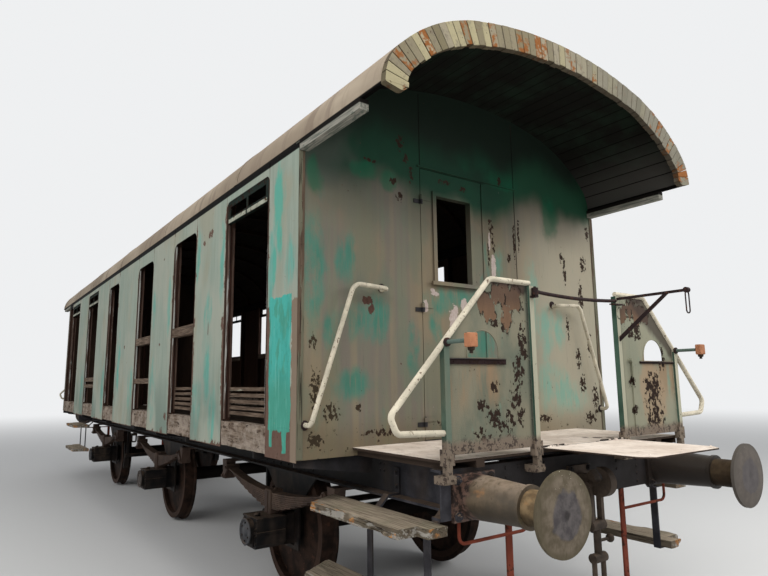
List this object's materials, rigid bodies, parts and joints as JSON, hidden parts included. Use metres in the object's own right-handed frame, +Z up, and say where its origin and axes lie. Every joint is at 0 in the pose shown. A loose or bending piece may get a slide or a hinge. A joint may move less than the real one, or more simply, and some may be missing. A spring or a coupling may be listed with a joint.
{
  "type": "passenger coach",
  "caption": "Derelict short rail coach with an open platform at each end, barrel roof, missing windows, buffers, steps and railings.",
  "frame": {"origin": "middle of the coach, on the plane where the wheel flanges stand", "axes": "+X along the coach towards the end seen in the picture, -Y the side seen in the picture, +Z up"},
  "size_m": [12.408, 2.976, 3.8527],
  "materials": {
    "side_paint": "faded sage green paint with teal patches, chalky",
    "end_paint": "olive grey paint with teal patches and dark flaking spots",
    "door_paint": "olive grey paint, worn to teal and primer",
    "hood_paint": "grey paint, mostly gone",
    "edge_paint": "weathered painted timber",
    "frame_timber": "bare dark brown timber",
    "rail_timber": "grey brown timber with old paint",
    "rotten_sill": "rotten, crumbling timber",
    "floor_boards": "dirty boards",
    "deck_cover": "pinkish beige dusty sheet",
    "roof_canvas": "painted canvas, dusty beige",
    "fascia_wood": "pale yellow grey painted blocks with rust streaks",
    "railing_paint": "olive paint flaking to rust",
    "rail_white": "chipped cream white paint",
    "lamp_paint": "rusty orange paint",
    "dark_paint": "dark blue black paint",
    "frame_iron": "black greasy iron",
    "running_gear": "black iron, oil and dust",
    "wheel_steel": "dark rusty brown steel",
    "rust_iron": "red brown rusted iron",
    "buffer_grease": "ochre paint under old grease",
    "buffer_head": "grey beige steel with a dark worn centre",
    "hose_rubber": "perished black rubber",
    "step_wood": "grey weathered, splintered planks"
  },
  "bodies": {
    "chassis": {"air_vessels": "frame_iron", "axle_boxes": "running_gear", "axle_guards": "running_gear", "bottom_sills": "rotten_sill", "brake_beams": "running_gear", "brake_hoses": "hose_rubber", "buffer_casings": "buffer_grease", "buffer_plungers": "buffer_head", "cabin_floor": "floor_boards", "cant_rails": "edge_paint", "cross_bearers": "frame_iron", "door_frame_hinges": "frame_iron", "draw_hooks": "frame_iron", "end_grab_rails": "rail_white", "end_wall_headers": "end_paint", "end_walls": "end_paint", "fall_plate_hinges": "frame_iron", "fixed_leaves": "door_paint", "floor_gussets": "frame_iron", "gate_mounts": "dark_paint", "guard_irons": "rust_iron", "headstocks": "frame_iron", "hose_fittings": "frame_iron", "lamp_brackets": "lamp_paint", "lath_strips": "rail_timber", "leaf_springs": "running_gear", "left_posts": "frame_timber", "left_tall_sheets": "side_paint", "outriggers": "dark_paint", "platform_decks": "deck_cover", "platform_handrails": "rail_white", "platform_railings": "railing_paint", "right_lower_sheets": "side_paint", "right_posts": "frame_timber", "right_tall_sheets": "side_paint", "roof_fascias": "fascia_wood", "roof_ribs": "frame_timber", "roof_shell": "roof_canvas", "screw_couplings": "frame_iron", "shunter_handles": "rust_iron", "solebars": "frame_iron", "spring_brackets": "running_gear", "step_irons": "frame_iron", "step_planks": "step_wood", "top_strips": "side_paint", "ventilator_hoods": "hood_paint", "window_rails": "rail_timber"},
    "wheelset_1": {"wheelset_1": "wheel_steel"},
    "wheelset_2": {"wheelset_2": "wheel_steel"},
    "wheelset_3": {"wheelset_3": "wheel_steel"},
    "front_door": {"front_door": "door_paint"},
    "rear_door": {"rear_door": "door_paint"},
    "front_gate_bar": {"front_gate_bar": "dark_paint"},
    "rear_gate_bar": {"rear_gate_bar": "dark_paint"},
    "front_fall_plate": {"front_fall_plate": "deck_cover"},
    "rear_fall_plate": {"rear_fall_plate": "deck_cover"}
  },
  "joints": [
    {"name": "wheelset_1_roll", "type": "hinge", "parent": "chassis", "child": "wheelset_1", "pos_m": [-3.3, 0, 0.528], "axis": [0, 1, 0], "continuous": true},
    {"name": "wheelset_2_roll", "type": "hinge", "parent": "chassis", "child": "wheelset_2", "pos_m": [0, 0, 0.528], "axis": [0, 1, 0], "continuous": true},
    {"name": "wheelset_3_roll", "type": "hinge", "parent": "chassis", "child": "wheelset_3", "pos_m": [3.3, 0, 0.528], "axis": [0, 1, 0], "continuous": true},
    {"name": "front_door_swing", "type": "hinge", "parent": "chassis", "child": "front_door", "pos_m": [4.691, -0.5175, 1.5], "axis": [0, 0, -1], "range_deg": [0, 100]},
    {"name": "front_gate_swing", "type": "hinge", "parent": "chassis", "child": "front_gate_bar", "pos_m": [5.602, -0.425, 2.168], "axis": [0, 0, -1], "range_deg": [0, 95]},
    {"name": "front_fall_plate_lift", "type": "hinge", "parent": "chassis", "child": "front_fall_plate", "pos_m": [5.554, 0, 1.277], "axis": [0, -1, 0], "range_deg": [0, 90]},
    {"name": "rear_door_swing", "type": "hinge", "parent": "chassis", "child": "rear_door", "pos_m": [-4.691, 0.5175, 1.5], "axis": [0, 0, -1], "range_deg": [0, 100]},
    {"name": "rear_gate_swing", "type": "hinge", "parent": "chassis", "child": "rear_gate_bar", "pos_m": [-5.602, 0.425, 2.168], "axis": [0, 0, -1], "range_deg": [0, 95]},
    {"name": "rear_fall_plate_lift", "type": "hinge", "parent": "chassis", "child": "rear_fall_plate", "pos_m": [-5.554, 0, 1.277], "axis": [0, 1, 0], "range_deg": [0, 90]}
  ]
}
